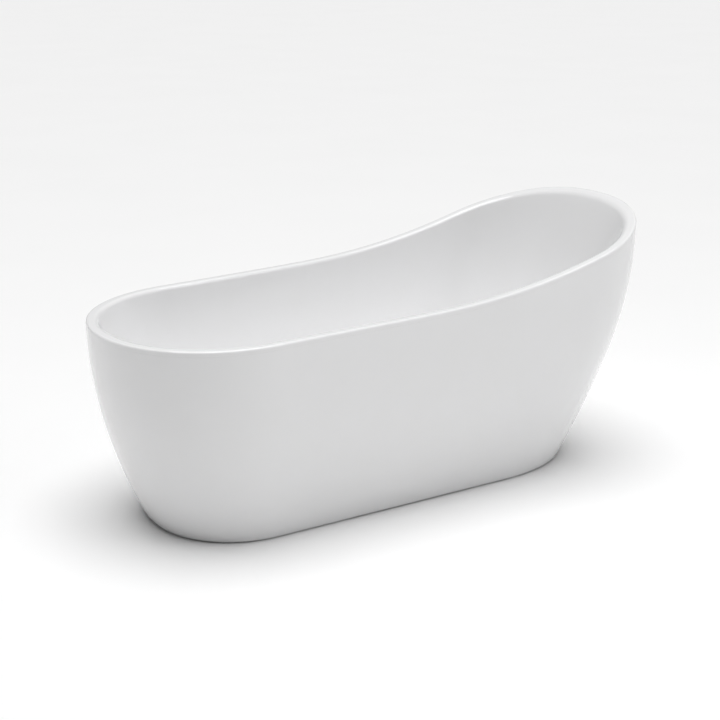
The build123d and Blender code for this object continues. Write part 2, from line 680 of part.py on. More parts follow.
def hose_clamp(at, towards):
    """Band with a screw housing, round the hose just in from one end."""
    along = (towards - at).normalized()
    band = tube(HOSE_R + CLAMP_BAND, HOSE_R, 0, CLAMP_WIDTH)
    band += Pos(HOSE_R + 3, 0, CLAMP_WIDTH / 2) * Box(5, 12, CLAMP_WIDTH - 1)
    return Plane(origin=at + along * CLAMP_INSET, z_dir=along, x_dir=(0, 1, 0)) * band


def make_hose():
    """Hose along the filleted route, and its two clamps."""
    points = hose_route()
    radii = []
    for a, b, c in zip(points, points[1:], points[2:]):
        turn = radians((b - a).get_angle(c - b))
        radii.append(HOSE_BEND * min((b - a).length, (c - b).length) / tan(turn / 2))
    path = FilletPolyline(*points, radius=radii)
    start = Plane(origin=path @ 0, z_dir=path % 0)
    hose = sweep(start * Circle(HOSE_R), path=path) - sweep(start * Circle(HOSE_BORE_R), path=path)
    expected = pi * (HOSE_R**2 - HOSE_BORE_R**2) * path.length
    print(f"hose {path.length:.0f} mm long, bend radii {[round(radius) for radius in radii]}")
    print(f"hose volume over section times length: {hose.volume / expected:.4f}")
    return {
        "overflow_hose": hose,
        "hose_clamp_low": hose_clamp(points[0], points[1]),
        "hose_clamp_high": hose_clamp(points[-1], points[-2]),
    }


# ---- Write one file a piece ---------------------------------------------------------


def main():
    shells, lining = make_shells()
    pieces = {
        **shells,
        **make_frame(lining),
        **make_feet(),
        **make_drain(),
        **make_overflow(shells["basin"]),
        **make_hose(),
    }
    os.makedirs("parts", exist_ok=True)
    for name, solid in pieces.items():
        export_step(solid, f"parts/{name}.step")
    print(len(pieces), "pieces")


main()
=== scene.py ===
import json
from math import atan2, cos, hypot, pi, radians, sin, sqrt

import bmesh
import bpy
from mathutils import Matrix, Vector

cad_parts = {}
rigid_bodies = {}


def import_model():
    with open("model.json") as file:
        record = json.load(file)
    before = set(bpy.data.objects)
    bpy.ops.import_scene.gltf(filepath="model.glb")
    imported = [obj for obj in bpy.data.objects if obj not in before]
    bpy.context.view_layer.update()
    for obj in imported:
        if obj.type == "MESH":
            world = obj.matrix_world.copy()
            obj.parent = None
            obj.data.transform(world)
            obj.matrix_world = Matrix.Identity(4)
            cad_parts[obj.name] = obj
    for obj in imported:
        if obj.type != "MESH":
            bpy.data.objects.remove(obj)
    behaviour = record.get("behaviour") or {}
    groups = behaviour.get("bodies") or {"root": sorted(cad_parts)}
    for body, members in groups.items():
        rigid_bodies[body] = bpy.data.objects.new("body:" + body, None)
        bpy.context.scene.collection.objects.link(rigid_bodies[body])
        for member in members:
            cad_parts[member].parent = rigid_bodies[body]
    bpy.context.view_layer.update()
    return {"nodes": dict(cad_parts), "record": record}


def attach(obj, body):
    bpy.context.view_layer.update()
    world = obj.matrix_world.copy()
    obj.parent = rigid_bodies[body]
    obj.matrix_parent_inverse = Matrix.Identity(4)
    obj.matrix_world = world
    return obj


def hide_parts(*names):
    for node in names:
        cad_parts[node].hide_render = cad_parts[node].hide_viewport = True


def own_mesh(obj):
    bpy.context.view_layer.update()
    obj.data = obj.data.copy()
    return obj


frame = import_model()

# Looks of a freestanding slipper bath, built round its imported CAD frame.
# Blender works in metres. The form of the two acrylic shells is worked out in millimetres,
# with the same driving dimensions as the CAD model, and MM turns them to metres.
MM = 0.001

LENGTH = 1700.0
LOW_RIM = 571.0
RIM_SLOPE = 38.0
RIM_RISE = 174.0
RISE_START = -20.0
RISE_SOFTNESS = 0.16
RIM_WIDTH = 32.0

# Each outline's low end, then its raised end
RIM_PLAN = dict(ends=(850.0, 850.0), centres=(-500.0, 545.0), halves=(360.0, 375.0), powers=(2.08, 2.21))
BASE_PLAN = dict(ends=(710.0, 665.0), centres=(-455.0, 300.0), halves=(260.0, 260.0), powers=(2.14, 2.15))
WELL_PLAN = dict(ends=(640.0, 455.0), centres=(-420.0, 215.0), halves=(215.0, 215.0), powers=(2.3, 2.3))
# Slopes of each wall at its foot and at its rim: low end, side, raised end
OUTER_FLARE = ((2.06, 0.03), (1.77, -0.20), (1.77, 0.03))
WELL_FLARE = ((1.30, 0.72), (1.35, 0.70), (1.05, 0.95))
FLOOR_TOP = 150.0
WELL_CORNER = 80.0

APRON_WALL = 5.0
BASIN_WALL = 6.0
BASIN_FLOOR = 8.0
DECK = 6.0
LIP_DEPTH = 14.0
BOND_LINE = 0.2
APRON_FOOT = 4.0
RETURN_WIDTH = 25.0
RETURN_THICK = 5.0

DRAIN_X = -480.0
DRAIN_HOLE_R = 25.0
RECESS_R = 37.0
RECESS_DEPTH = 3.0
OVERFLOW_Z = 495.0
OVERFLOW_HOLE_R = 20.0

# Fittings, at the sizes of the CAD pieces that they stand for
FEET = [(-370.0, -165.0), (-370.0, 165.0), (400.0, -165.0), (400.0, 165.0), (0.0, 0.0)]
THREAD_PITCH = 1.75
THREAD_DEPTH = 0.95
THREAD_STEPS = 5
THREAD_R = 5.97
THREAD_FOOT = 31.0
THREAD_TOP = 106.5
GRIP_FLATS = 17.0
HOSE_R = 18.0
HOSE_BORE_R = 15.1
HOSE_PITCH = 4.6
HOSE_GROOVE = 2.0
HOSE_CUFF = 22.0  # plain cuff at each end
HOSE_CORNERS = [
    (-510.0, 78.0), (-585.0, 78.0), (-655.0, 90.0), (-712.0, 138.0), (-744.0, 213.0), (-766.0, 300.0),
]
SPIGOT_DEPTH = 28.0
SPRING_LEVELS = (93.2, 133.8)
SPRING_R = 5.4
SPRING_WIRE_R = 0.55
SPRING_COILS = 11

# Roundings of the rim's two edges, and how finely the shells are divided
OUTER_ROUND = 8.0
INNER_ROUND = 12.0
QUARTER_STEPS = 36
SIDE_STEPS = 44


# ---- Scene: camera, light, floor ----------------------------------------------------

CAMERA_AZIMUTH = radians(-32.35)
CAMERA_ELEVATION = radians(17.19)
CAMERA_DISTANCE = 4.218
CAMERA_TARGET = Vector((-0.0375, 0, 0.3663))
CAMERA_LENS = 71.73
WALL_LIGHT = 0.28
DIM_WALL_LIGHT = 0.0
DIM_WALL_AZIMUTH = radians(-60)
CEILING_LIGHT = 2.45
CEILING_SPREAD = radians(50)
RIGHT_AZIMUTH = 20
RIGHT_ELEVATION = 50
LEFT_AZIMUTH = -125
LEFT_LIGHT = 2
RIGHT_LIGHT = 16


def view_direction(azimuth, elevation):
    """Unit vector from the target back to a viewer."""
    level = cos(elevation)
    return Vector((sin(azimuth) * level, -cos(azimuth) * level, sin(elevation)))


def make_camera():
    """The view that the bath is shown from."""
    data = bpy.data.cameras.new("camera")
    data.lens = CAMERA_LENS
    camera = bpy.data.objects.new("camera", data)
    back = view_direction(CAMERA_AZIMUTH, CAMERA_ELEVATION)
    camera.location = CAMERA_TARGET + back * CAMERA_DISTANCE
    camera.rotation_euler = (-back).to_track_quat("-Z", "Y").to_euler()
    bpy.context.collection.objects.link(camera)
    bpy.context.scene.camera = camera


def soft_light(name, azimuth, elevation, distance, size, watts):
    """Rectangular softbox that looks at the middle of the bath."""
    data = bpy.data.lights.new(name, "AREA")
    data.shape = "RECTANGLE"
    data.size, data.size_y = size
    data.energy = watts
    light = bpy.data.objects.new(name, data)
    back = view_direction(radians(azimuth), radians(elevation))
    light.location = Vector((0, 0, 0.4)) + back * distance
    light.rotation_euler = (-back).to_track_quat("-Z", "Y").to_euler()
    bpy.context.collection.objects.link(light)


def make_studio():
    """White studio whose walls are bright at the sides and dim behind the viewer."""
    world = bpy.data.worlds.new("studio")
    world.use_nodes = True
    nodes, link = world.node_tree.nodes, world.node_tree.links.new
    place = nodes.new("ShaderNodeTexCoord")
    facing = nodes.new("ShaderNodeVectorMath")
    facing.operation = "DOT_PRODUCT"
    facing.inputs[1].default_value = view_direction(DIM_WALL_AZIMUTH, 0)
    dim = nodes.new("ShaderNodeMapRange")
    dim.interpolation_type = "SMOOTHSTEP"
    for socket, value in zip(dim.inputs[1:5], (-0.1, 0.9, WALL_LIGHT, DIM_WALL_LIGHT)):
        socket.default_value = value
    link(place.outputs["Generated"], facing.inputs[0])
    link(facing.outputs["Value"], dim.inputs["Value"])
    link(dim.outputs["Result"], nodes["Background"].inputs["Strength"])
    nodes["Background"].inputs["Color"].default_value = (1, 1, 1, 1)
    bpy.context.scene.world = world
    bpy.context.scene.view_settings.view_transform = "Standard"
    data = bpy.data.lights.new("ceiling", "SUN")
    data.energy = CEILING_LIGHT
    data.angle = CEILING_SPREAD
    ceiling = bpy.data.objects.new("ceiling", data)
    ceiling.location = (0, 0, 3)
    bpy.context.collection.objects.link(ceiling)
    soft_light("left", LEFT_AZIMUTH, 25, 3.4, (1.6, 2.2), LEFT_LIGHT)
    soft_light("right", RIGHT_AZIMUTH, RIGHT_ELEVATION, 3.8, (2.0, 2.4), RIGHT_LIGHT)


# ---- Materials ----------------------------------------------------------------------


def linear(code):
    """Linear colour of an sRGB hex value."""
    values = [int(code[i : i + 2], 16) / 255 for i in (0, 2, 4)]
    return (*[v / 12.92 if v <= 0.04045 else ((v + 0.055) / 1.055) ** 2.4 for v in values], 1)


def add(material, kind, out=0, settings=(), **inputs):
    """Add a node and give one of its outputs. Inputs go by name, or by number as _0."""
    tree = material.node_tree
    node = tree.nodes.new(kind)
    for name, value in dict(settings).items():
        setattr(node, name, value)
    for name, value in inputs.items():
        socket = node.inputs[int(name[1:])] if name[1:].isdigit() else node.inputs[name.replace("_", " ")]
        if isinstance(value, bpy.types.NodeSocket):
            tree.links.new(value, socket)
        else:
            socket.default_value = value
    return node.outputs[out]


def start_material(name, colour, roughness, metallic=0.0, ior=None):
    """A material with its shader set to a plain finish, and its pattern coordinates."""
    material = bpy.data.materials.new(name)
    material.use_nodes = True
    shader = material.node_tree.nodes["Principled BSDF"]
    shader.inputs["Base Color"].default_value = linear(colour)
    shader.inputs["Roughness"].default_value = roughness
    shader.inputs["Metallic"].default_value = metallic
    if ior:
        shader.inputs["IOR"].default_value = ior
    return material, add(material, "ShaderNodeTexCoord", "Object")


def finish(material, colours, pattern, gloss=None, gloss_pattern=None, height=None, relief=0.0):
    """Lay a pattern between two colours on the shader, with its gloss and its relief in metres."""
    shader = material.node_tree.nodes["Principled BSDF"]
    link = material.node_tree.links.new
    first, last = (linear(code) for code in colours)
    mixed = add(material, "ShaderNodeMix", 2, {"data_type": "RGBA"}, _0=pattern, _6=first, _7=last)
    link(mixed, shader.inputs["Base Color"])
    if gloss:
        source = gloss_pattern or pattern
        varied = add(material, "ShaderNodeMapRange", Value=source, To_Min=gloss[0], To_Max=gloss[1])
        link(varied, shader.inputs["Roughness"])
    if relief:
        raised = add(material, "ShaderNodeBump", Height=height or pattern, Distance=relief)
        link(raised, shader.inputs["Normal"])
    return material


def acrylic():
    """Vacuum-formed cast acrylic, buffed: a deep white gloss that is never quite flat."""
    material, place = start_material("cast_acrylic_white", "F8F8F8", 0.09, ior=1.49)
    shader = material.node_tree.nodes["Principled BSDF"]
    shader.inputs["Coat Weight"].default_value = 0.25
    shader.inputs["Coat Roughness"].default_value = 0.04
    # a trace of colour from the sheet, a hand's breadth across
    drift = add(material, "ShaderNodeTexNoise", Vector=place, Scale=1 / 0.11, Detail=3.0)
    # gloss that varies with the buffing, a thumb's breadth across
    haze = add(material, "ShaderNodeTexNoise", Vector=place, Scale=1 / 0.02, Detail=5.0, Roughness=0.6)
    # slow waves of the formed sheet, 60 mm long and a few hundredths of a millimetre high
    waves = add(material, "ShaderNodeTexNoise", Vector=place, Scale=1 / 0.06, Detail=1.0)
    return finish(material, ("F7F7F7", "F9F9FA"), drift, (0.06, 0.14), haze, waves, 0.00006)


def glass_fibre():
    """Sprayed chopped glass and polyester resin on the back of the acrylic: mottled, hairy and half matt."""
    material, place = start_material("chopped_glass_resin", "CFCDBF", 0.5, ior=1.55)
    # strands are 25 mm long and lie at all angles, so two stretched noises cross each other
    strands = []
    for turn in (0.6, -0.9):
        laid = add(material, "ShaderNodeMapping", Vector=place, Rotation=(turn, turn, turn), Scale=(1, 9, 9))
        strands.append(add(material, "ShaderNodeTexNoise", Vector=laid, Scale=1 / 0.02, Detail=4.0))
    crossed = add(material, "ShaderNodeMath", settings={"operation": "MAXIMUM"}, _0=strands[0], _1=strands[1])
    pattern = add(material, "ShaderNodeMapRange", Value=crossed, From_Min=0.45, From_Max=0.7)
    return finish(material, ("BFBCAA", "DCDACF"), pattern, (0.62, 0.38), relief=0.0006)


def galvanised_steel():
    """Hot-dip galvanised tube: grey zinc crystals, each with its own shine."""
    material, place = start_material("galvanised_steel", "B4B8BA", 0.4, 1.0)
    # crystals are 6 to 10 mm across
    crystal = add(material, "ShaderNodeTexVoronoi", "Color", Vector=place, Scale=1 / 0.008)
    grey = add(material, "ShaderNodeSeparateColor", "Red", Color=crystal)
    grit = add(material, "ShaderNodeTexNoise", Vector=place, Scale=1 / 0.004, Detail=4.0)
    return finish(material, ("A4A8AB", "C3C7C9"), grey, (0.3, 0.5), grey, grit, 0.00004)


def zinc_plate(name):
    """Bright zinc plating on turned and pressed steel: cool and clean, with a film of passivation."""
    material, place = start_material(name, "CBCDCC", 0.26, 1.0)
    # the film drifts from blue to straw over a finger's breadth
    film = add(material, "ShaderNodeTexNoise", Vector=place, Scale=1 / 0.009, Detail=5.0, Roughness=0.6)
    drift = add(material, "ShaderNodeMapRange", Value=film, From_Min=0.35, From_Max=0.65)
    return finish(material, ("C2C6CA", "D4D2C6"), drift, (0.2, 0.36))


def chrome():
    """Bright chrome on brass: a mirror with the faintest wiping marks."""
    material, place = start_material("chrome_plate", "E4E6E8", 0.05, 1.0)
    # wiping marks are a few millimetres across
    wiped = add(material, "ShaderNodeTexNoise", Vector=place, Scale=1 / 0.007, Detail=4.0, Roughness=0.6)
    return finish(material, ("E1E3E6", "E9EAEB"), wiped, (0.03, 0.1))


def brass():
    """Turned free-cutting brass: yellow, with tool marks and a little tarnish."""
    material, place = start_material("turned_brass", "C8A45C", 0.24, 1.0)
    # tool marks 0.1 mm apart are too fine to show, so they are drawn 0.5 mm apart
    along_z = {"bands_direction": "Z"}
    marks = add(material, "ShaderNodeTexWave", "Fac", along_z, Vector=place, Scale=100, Distortion=0.6)
    stain = add(material, "ShaderNodeTexNoise", Vector=place, Scale=1 / 0.012, Detail=4.0)
    return finish(material, ("CBA860", "B88F4A"), stain, (0.18, 0.32), marks, marks, 0.00002)


def moulded_plastic(name, first, last, gloss, ior):
    """Injection-moulded plastic: even colour with a fine spark-eroded grain."""
    material, place = start_material(name, first, gloss, ior=ior)
    flow = add(material, "ShaderNodeTexNoise", Vector=place, Scale=1 / 0.03, Detail=3.0)
    # the grain is 0.4 mm across, drawn at 0.8 mm
    grain = add(material, "ShaderNodeTexNoise", Vector=place, Scale=1 / 0.0008)
    return finish(material, (first, last), flow, (gloss - 0.06, gloss + 0.08), grain, grain, 0.00003)


def rubber():
    """Black moulded rubber: dull, with a bloom of grey in places."""
    material, place = start_material("black_rubber", "1C1C1D", 0.75, ior=1.52)
    bloom = add(material, "ShaderNodeTexNoise", Vector=place, Scale=1 / 0.015, Detail=5.0, Roughness=0.65)
    patches = add(material, "ShaderNodeMapRange", Value=bloom, From_Min=0.4, From_Max=0.75)
    grit = add(material, "ShaderNodeTexNoise", Vector=place, Scale=1 / 0.001, Detail=3.0)
    return finish(material, ("161617", "2E2E2E"), patches, (0.66, 0.85), patches, grit, 0.00005)


def grained_wood(name, pale, dark, ring, stretch, gloss):
    """Sawn wood with its grain along X: ring is the spacing of the growth rings in metres."""
    material, place = start_material(name, pale, gloss, ior=1.5)
    drawn = add(material, "ShaderNodeMapping", Vector=place, Scale=(1 / stretch, 1, 1))
    scale = 1 / ring / 20
    along_z = {"bands_direction": "Z"}
    rings = add(material, "ShaderNodeTexWave", "Fac", along_z, Vector=drawn, Scale=scale, Distortion=5.0)
    fibres = add(material, "ShaderNodeTexNoise", Vector=drawn, Scale=4 / ring, Detail=4.0, Roughness=0.6)
    both = add(material, "ShaderNodeMath", settings={"operation": "MULTIPLY"}, _0=rings, _1=fibres)
    grain = add(material, "ShaderNodeMapRange", Value=both, From_Min=0.05, From_Max=0.55)
    return finish(material, (pale, dark), grain, (gloss, gloss + 0.15), relief=0.0002)


def bonding_bead():
    """Polyurethane adhesive tooled into the corner: off-white, rubbery and slightly lumpy."""
    material, place = start_material("polyurethane_bead", "DAD7CA", 0.55, ior=1.5)
    lumps = add(material, "ShaderNodeTexNoise", Vector=place, Scale=1 / 0.012, Detail=3.0)
    return finish(material, ("CFCBBB", "E2E0D6"), lumps, (0.45, 0.65), relief=0.0006)


def make_materials():
    """One material for each material slot of the record, and the backing of the shells."""
    return {
        "acrylic": acrylic(),
        "backing": glass_fibre(),
        "bond": bonding_bead(),
        "board": grained_wood("resin_sealed_plywood", "B08A5A", "7E5A34", 0.006, 12, 0.34),
        "timber": grained_wood("sawn_spruce", "D2AE78", "B0834C", 0.004, 10, 0.6),
        "frame_steel": galvanised_steel(),
        "zinc": zinc_plate("bright_zinc_plate"),
        "spring": zinc_plate("drawn_spring_wire"),
        "nylon": moulded_plastic("glass_filled_nylon", "17181A", "1E1F21", 0.45, 1.53),
        "rubber": rubber(),
        "chrome": chrome(),
        "brass": brass(),
        "abs": moulded_plastic("white_abs", "E6E5E0", "E0DFD9", 0.34, 1.54),
        "hose": moulded_plastic("natural_polypropylene", "DCDBD4", "D2D1C9", 0.42, 1.49),
    }


def make_floor():
    """Matt white studio floor, with the faintest mottle of paint."""
    material, place = start_material("studio_floor", "FBFBFB", 0.6)
    mottle = add(material, "ShaderNodeTexNoise", Vector=place, Scale=1 / 0.8)
    finish(material, ("FAFAFA", "FDFDFD"), mottle)
    mesh = bpy.data.meshes.new("floor")
    bm = bmesh.new()
    bmesh.ops.create_grid(bm, x_segments=4, y_segments=4, size=40)
    bm.to_mesh(mesh)
    bm.free()
    mesh.materials.append(material)
    floor = bpy.data.objects.new("floor", mesh)
    bpy.context.collection.objects.link(floor)


# ---- Form of the shells -------------------------------------------------------------


def hermite(u, start, end):
    """Rise from 0 to 1 with a set slope at each end, carried on straight past both."""
    if u > 1:
        return 1 + end * (u - 1)
    if u < 0:
        return start * u
    return start * (u - 2 * u**2 + u**3) + 3 * u**2 - 2 * u**3 + end * (u**3 - u**2)


def rim_height(x):
    """Height of the rim's top: nearly level, then sweeping up to the raised end."""
    half = LENGTH / 2
    along = (x - RISE_START) / (half - RISE_START)
    climb = (along + sqrt(along**2 + RISE_SOFTNESS**2)) / (1 + sqrt(1 + RISE_SOFTNESS**2))
    return LOW_RIM + RIM_SLOPE * (x + half) / LENGTH + RIM_RISE * climb**2


RIB_COUNT = 2 * QUARTER_STEPS + SIDE_STEPS


def rib(k):
    """Where rib k stands on the half outline: end, angle from the tip, share of the side."""
    if k <= QUARTER_STEPS:
        return 1, k / QUARTER_STEPS * pi / 2, 0.0
    if k < QUARTER_STEPS + SIDE_STEPS:
        return None, pi / 2, (k - QUARTER_STEPS) / SIDE_STEPS
    return 0, (RIB_COUNT - k) / QUARTER_STEPS * pi / 2, 1.0


def plan_point(plan, k, inset):
    """Point of a half outline, Y >= 0, drawn in by inset."""
    end, angle, share = rib(k)
    if end is None:
        low, high = plan["centres"]
        blend = (1 - share) ** 2 * (1 + 2 * share)
        half = plan["halves"][0] + (plan["halves"][1] - plan["halves"][0]) * blend
        return high + (low - high) * share, half - inset
    centre = plan["centres"][end]
    power = 2 / plan["powers"][end]
    reach = plan["ends"][end] - inset - abs(centre)
    sign = 1 if end else -1
    x = centre + sign * reach * max(cos(angle), 0.0) ** power
    return x, (plan["halves"][end] - inset) * sin(angle) ** power


def wall_point(base_plan, flare, k, z, floor_z, rim_inset, inset):
    """Point of a flared wall at level z, drawn in by inset."""
    end, angle, _ = rib(k)
    top = rim_height(plan_point(RIM_PLAN, k, rim_inset)[0])
    weight = cos(angle) ** 2
    tip = flare[1] if end is None else flare[2 * end]
    start = flare[1][0] + (tip[0] - flare[1][0]) * weight
    stop = flare[1][1] + (tip[1] - flare[1][1]) * weight
    out = hermite((z - floor_z) / (top - floor_z), start, stop)
    base = plan_point(base_plan, k, inset)
    rim = plan_point(RIM_PLAN, k, rim_inset + inset)
    return base[0] + (rim[0] - base[0]) * out, base[1] + (rim[1] - base[1]) * out, z


def outer_wall(k, z, inset=0.0):
    return wall_point(BASE_PLAN, OUTER_FLARE, k, z, 0.0, 0.0, inset)


def well_wall(k, z, inset=0.0):
    return wall_point(WELL_PLAN, WELL_FLARE, k, z, FLOOR_TOP, RIM_WIDTH, inset)


def deck_point(k, inset, drop):
    """Point a drop under the rim's top, inset from the rim's outline."""
    x, y = plan_point(RIM_PLAN, k, inset)
    return x, y, rim_height(x) - drop


def spread(first, last, steps, skip_first=False):
    """Evenly spaced values from first to last."""
    return [first + (last - first) * i / steps for i in range(1 if skip_first else 0, steps + 1)]


def round_over(start, corner, stop):
    """Points of a rounding that leaves start for the corner and reaches stop from it."""
    start, corner, stop = Vector(start), Vector(corner), Vector(stop)
    return [start * (1 - u) ** 2 + corner * 2 * u * (1 - u) + stop * u**2 for u in spread(0, 1, 8)]


def rim_top(k):
    """Section over the rim: outer rounding, flat deck, inner rounding."""
    outer, inner = deck_point(k, 0, 0), deck_point(k, RIM_WIDTH, 0)
    points = round_over(outer_wall(k, outer[2] - OUTER_ROUND), outer, deck_point(k, OUTER_ROUND, 0))
    for inset in spread(OUTER_ROUND, RIM_WIDTH - INNER_ROUND, 4, True)[:-1]:
        points.append(deck_point(k, inset, 0))
    well_edge = well_wall(k, inner[2] - INNER_ROUND)
    return points + round_over(deck_point(k, RIM_WIDTH - INNER_ROUND, 0), inner, well_edge)


def well_section(k, top, grow, floor_z, steps):
    """Section down the well's wall from level top and round the floor's corner."""
    corner = WELL_CORNER + grow
    points = [well_wall(k, z, -grow) for z in spread(top, floor_z + corner, steps, True)]
    for angle in spread(pi / 2, 0, 14, True):
        z = floor_z + corner * (1 - cos(angle))
        points.append(well_wall(k, z, corner * (1 - sin(angle)) - grow))
    return points


def floor_section(edge, radius, z, steps):
    """Straight run over the floor from its edge to the drain's circle."""
    across, along = edge[1], edge[0] - DRAIN_X
    reach = hypot(across, along)
    target = (DRAIN_X + along / reach * radius, across / reach * radius, z)
    points = []
    for share in spread(0, 1, steps, True):
        gone = 1 - (1 - share) ** 1.5
        points.append(tuple(a + (b - a) * gone for a, b in zip(edge, target)))
    return points


def around_drain(point, radius, z):
    """The point moved to a radius from the drain's axis and a level."""
    across, along = point[1], point[0] - DRAIN_X
    reach = hypot(across, along)
    return DRAIN_X + along / reach * radius, across / reach * radius, z


def basin_section(k):
    """Whole section of the basin: lip, rim, well, drain hole and back along the underside."""
    points = [outer_wall(k, rim_height(plan_point(RIM_PLAN, k, 0)[0]) - drop) for drop in (LIP_DEPTH, 11.0)]
    points += rim_top(k)
    top = points[-1][2]
    points += well_section(k, top, 0, FLOOR_TOP, 26)
    points += floor_section(points[-1], RECESS_R + 1, FLOOR_TOP, 10)
    recess = FLOOR_TOP - RECESS_DEPTH
    for radius, z in ((RECESS_R, FLOOR_TOP - 1), (RECESS_R - 1, recess), (DRAIN_HOLE_R, recess)):
        points.append(around_drain(points[-1], radius, z))
    underside = FLOOR_TOP - BASIN_FLOOR
    points.append(around_drain(points[-1], DRAIN_HOLE_R, underside))
    under = well_section(k, top, BASIN_WALL, underside, 26)
    points += floor_section(under[-1], DRAIN_HOLE_R, underside, 10)[-2::-1]
    points += under[::-1]
    back = RIM_WIDTH - BASIN_WALL
    points.append(deck_point(k, back, DECK + 3))
    for inset in (back - 3, back - 10, APRON_WALL + 2, APRON_WALL):
        points.append(deck_point(k, inset, DECK))
    rim_level = rim_height(plan_point(RIM_PLAN, k, 0)[0])
    points.append(outer_wall(k, rim_level - LIP_DEPTH + 1, APRON_WALL))
    points.append(outer_wall(k, rim_level - LIP_DEPTH, APRON_WALL))
    return points


# Stations of the sections from which the back of each shell is counted
BASIN_BACK_STATIONS = 58
APRON_FACE_STATIONS = 47


def apron_section(k):
    """Whole section of the apron: outer wall, top edge, inner wall and the return at the floor."""
    top = rim_height(plan_point(RIM_PLAN, k, 0)[0]) - LIP_DEPTH - BOND_LINE
    points = [outer_wall(k, APRON_FOOT, 1.5), outer_wall(k, APRON_FOOT + 0.4, 0.4)]
    points += [outer_wall(k, z) for z in spread(APRON_FOOT + 1.5, top, 44)]
    points += [outer_wall(k, z, APRON_WALL) for z in spread(top, APRON_FOOT + RETURN_THICK + 3, 30)]
    shelf = APRON_FOOT + RETURN_THICK
    points += [outer_wall(k, shelf, inset) for inset in (APRON_WALL + 3, RETURN_WIDTH - 1)]
    points += [outer_wall(k, shelf - 1, RETURN_WIDTH), outer_wall(k, APRON_FOOT + 1, RETURN_WIDTH)]
    points.append(outer_wall(k, APRON_FOOT, RETURN_WIDTH - 1))
    return points


def wrap(rows):
    """Closed surface through equal rows of points in millimetres, joined up both ways."""
    count, loop = len(rows), len(rows[0])
    bm = bmesh.new()
    bmesh.ops.create_grid(bm, x_segments=count, y_segments=loop, size=1)
    stations = {}
    for face in bm.faces:
        stations[face] = (face.calc_center_median().y + 1) / 2 * loop
    for vert in bm.verts:
        i = round((vert.co.x + 1) / 2 * count) % count
        j = round((vert.co.y + 1) / 2 * loop) % loop
        vert.co = Vector(rows[i][j]) * MM
    return bm, stations


def weld(bm):
    """Join the seams of a wrapped surface, and drop what collapsed on its axis."""
    bmesh.ops.remove_doubles(bm, verts=bm.verts, dist=1e-6)
    bmesh.ops.dissolve_degenerate(bm, edges=bm.edges, dist=1e-7)
    loose = [edge for edge in bm.edges if not edge.link_faces]
    bmesh.ops.delete(bm, geom=loose, context="EDGES")


def make_shell(name, section, backed, materials):
    """Closed shell wrapped round the bath, glass-fibre backed between two stations of its section."""
    halves = [section(k) for k in range(RIB_COUNT + 1)]
    mirrored = [[(x, -y, z) for x, y, z in half] for half in halves[-2:0:-1]]
    bm, stations = wrap(halves + mirrored)
    for face, station in stations.items():
        face.material_index = int(backed[0] < station < backed[1])
    weld(bm)
    return finish_mesh(bm, name, *materials)


def finish_mesh(bm, name, *materials, sharp=radians(32)):
    """Turn a bmesh into a piece with outward faces, smooth but for its real edges."""
    bmesh.ops.recalc_face_normals(bm, faces=bm.faces)
    for face in bm.faces:
        face.smooth = True
    for edge in bm.edges:
        if edge.is_manifold and edge.calc_face_angle() > sharp:
            edge.smooth = False
    mesh = bpy.data.meshes.new(name)
    bm.to_mesh(mesh)
    bm.free()
    for material in materials:
        mesh.materials.append(material)
    piece = bpy.data.objects.new(name, mesh)
    bpy.context.collection.objects.link(piece)
    return piece


def overflow_plane():
    """Matrix whose Z points into the well, square to its low end's wall, and whose X points up the wall."""
    step = 5.0
    tip = RIB_COUNT
    lean = atan2(well_wall(tip, OVERFLOW_Z - step)[0] - well_wall(tip, OVERFLOW_Z + step)[0], 2 * step)
    inward = Vector((cos(lean), 0, sin(lean)))
    upward = Vector((-sin(lean), 0, cos(lean)))
    facing = Matrix((upward, inward.cross(upward), inward)).transposed().to_4x4()
    return Matrix.Translation(Vector(well_wall(tip, OVERFLOW_Z)) * MM) @ facing


def bore_overflow(basin):
    """Cut the overflow's hole through the low end's wall."""
    bm = bmesh.new()
    radius = OVERFLOW_HOLE_R * MM
    bmesh.ops.create_cone(
        bm, cap_ends=True, segments=64, radius1=radius, radius2=radius, depth=0.04, matrix=overflow_plane()
    )
    drill = finish_mesh(bm, "overflow_drill")
    cut = basin.modifiers.new("overflow", "BOOLEAN")
    cut.operation, cut.solver, cut.object = "DIFFERENCE", "EXACT", drill
    graph = bpy.context.evaluated_depsgraph_get()
    bored = bpy.data.meshes.new_from_object(basin.evaluated_get(graph), depsgraph=graph)
    basin.modifiers.clear()
    basin.data = bored
    bpy.data.objects.remove(drill)


def make_shells():
    """The basin with its overflow hole and the apron, both acrylic with their backing inside."""
    pair = materials["acrylic"], materials["backing"]
    hole = len(basin_section(0)) - BASIN_BACK_STATIONS
    basin = make_shell("basin_shell", basin_section, (hole, hole + BASIN_BACK_STATIONS - 6), pair)
    bore_overflow(basin)
    apron = make_shell("apron_shell", apron_section, (APRON_FACE_STATIONS, APRON_FACE_STATIONS + 31), pair)
    for piece, node in ((basin, "basin"), (apron, "apron")):
        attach(piece, "bath")
        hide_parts(node)


def dress_cad_nodes():
    """Give every CAD node that stays the material of its slot."""
    for part in frame["record"]["subparts"]:
        node = frame["nodes"][part["node"]]
        for slot in node.material_slots:
            slot.material = materials[part["material_slot"]]


# ---- Fittings -----------------------------------------------------------------------


def place_fitting(piece, body, node):
    """The piece stands for a CAD node and moves with its body."""
    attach(piece, body)
    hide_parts(node)


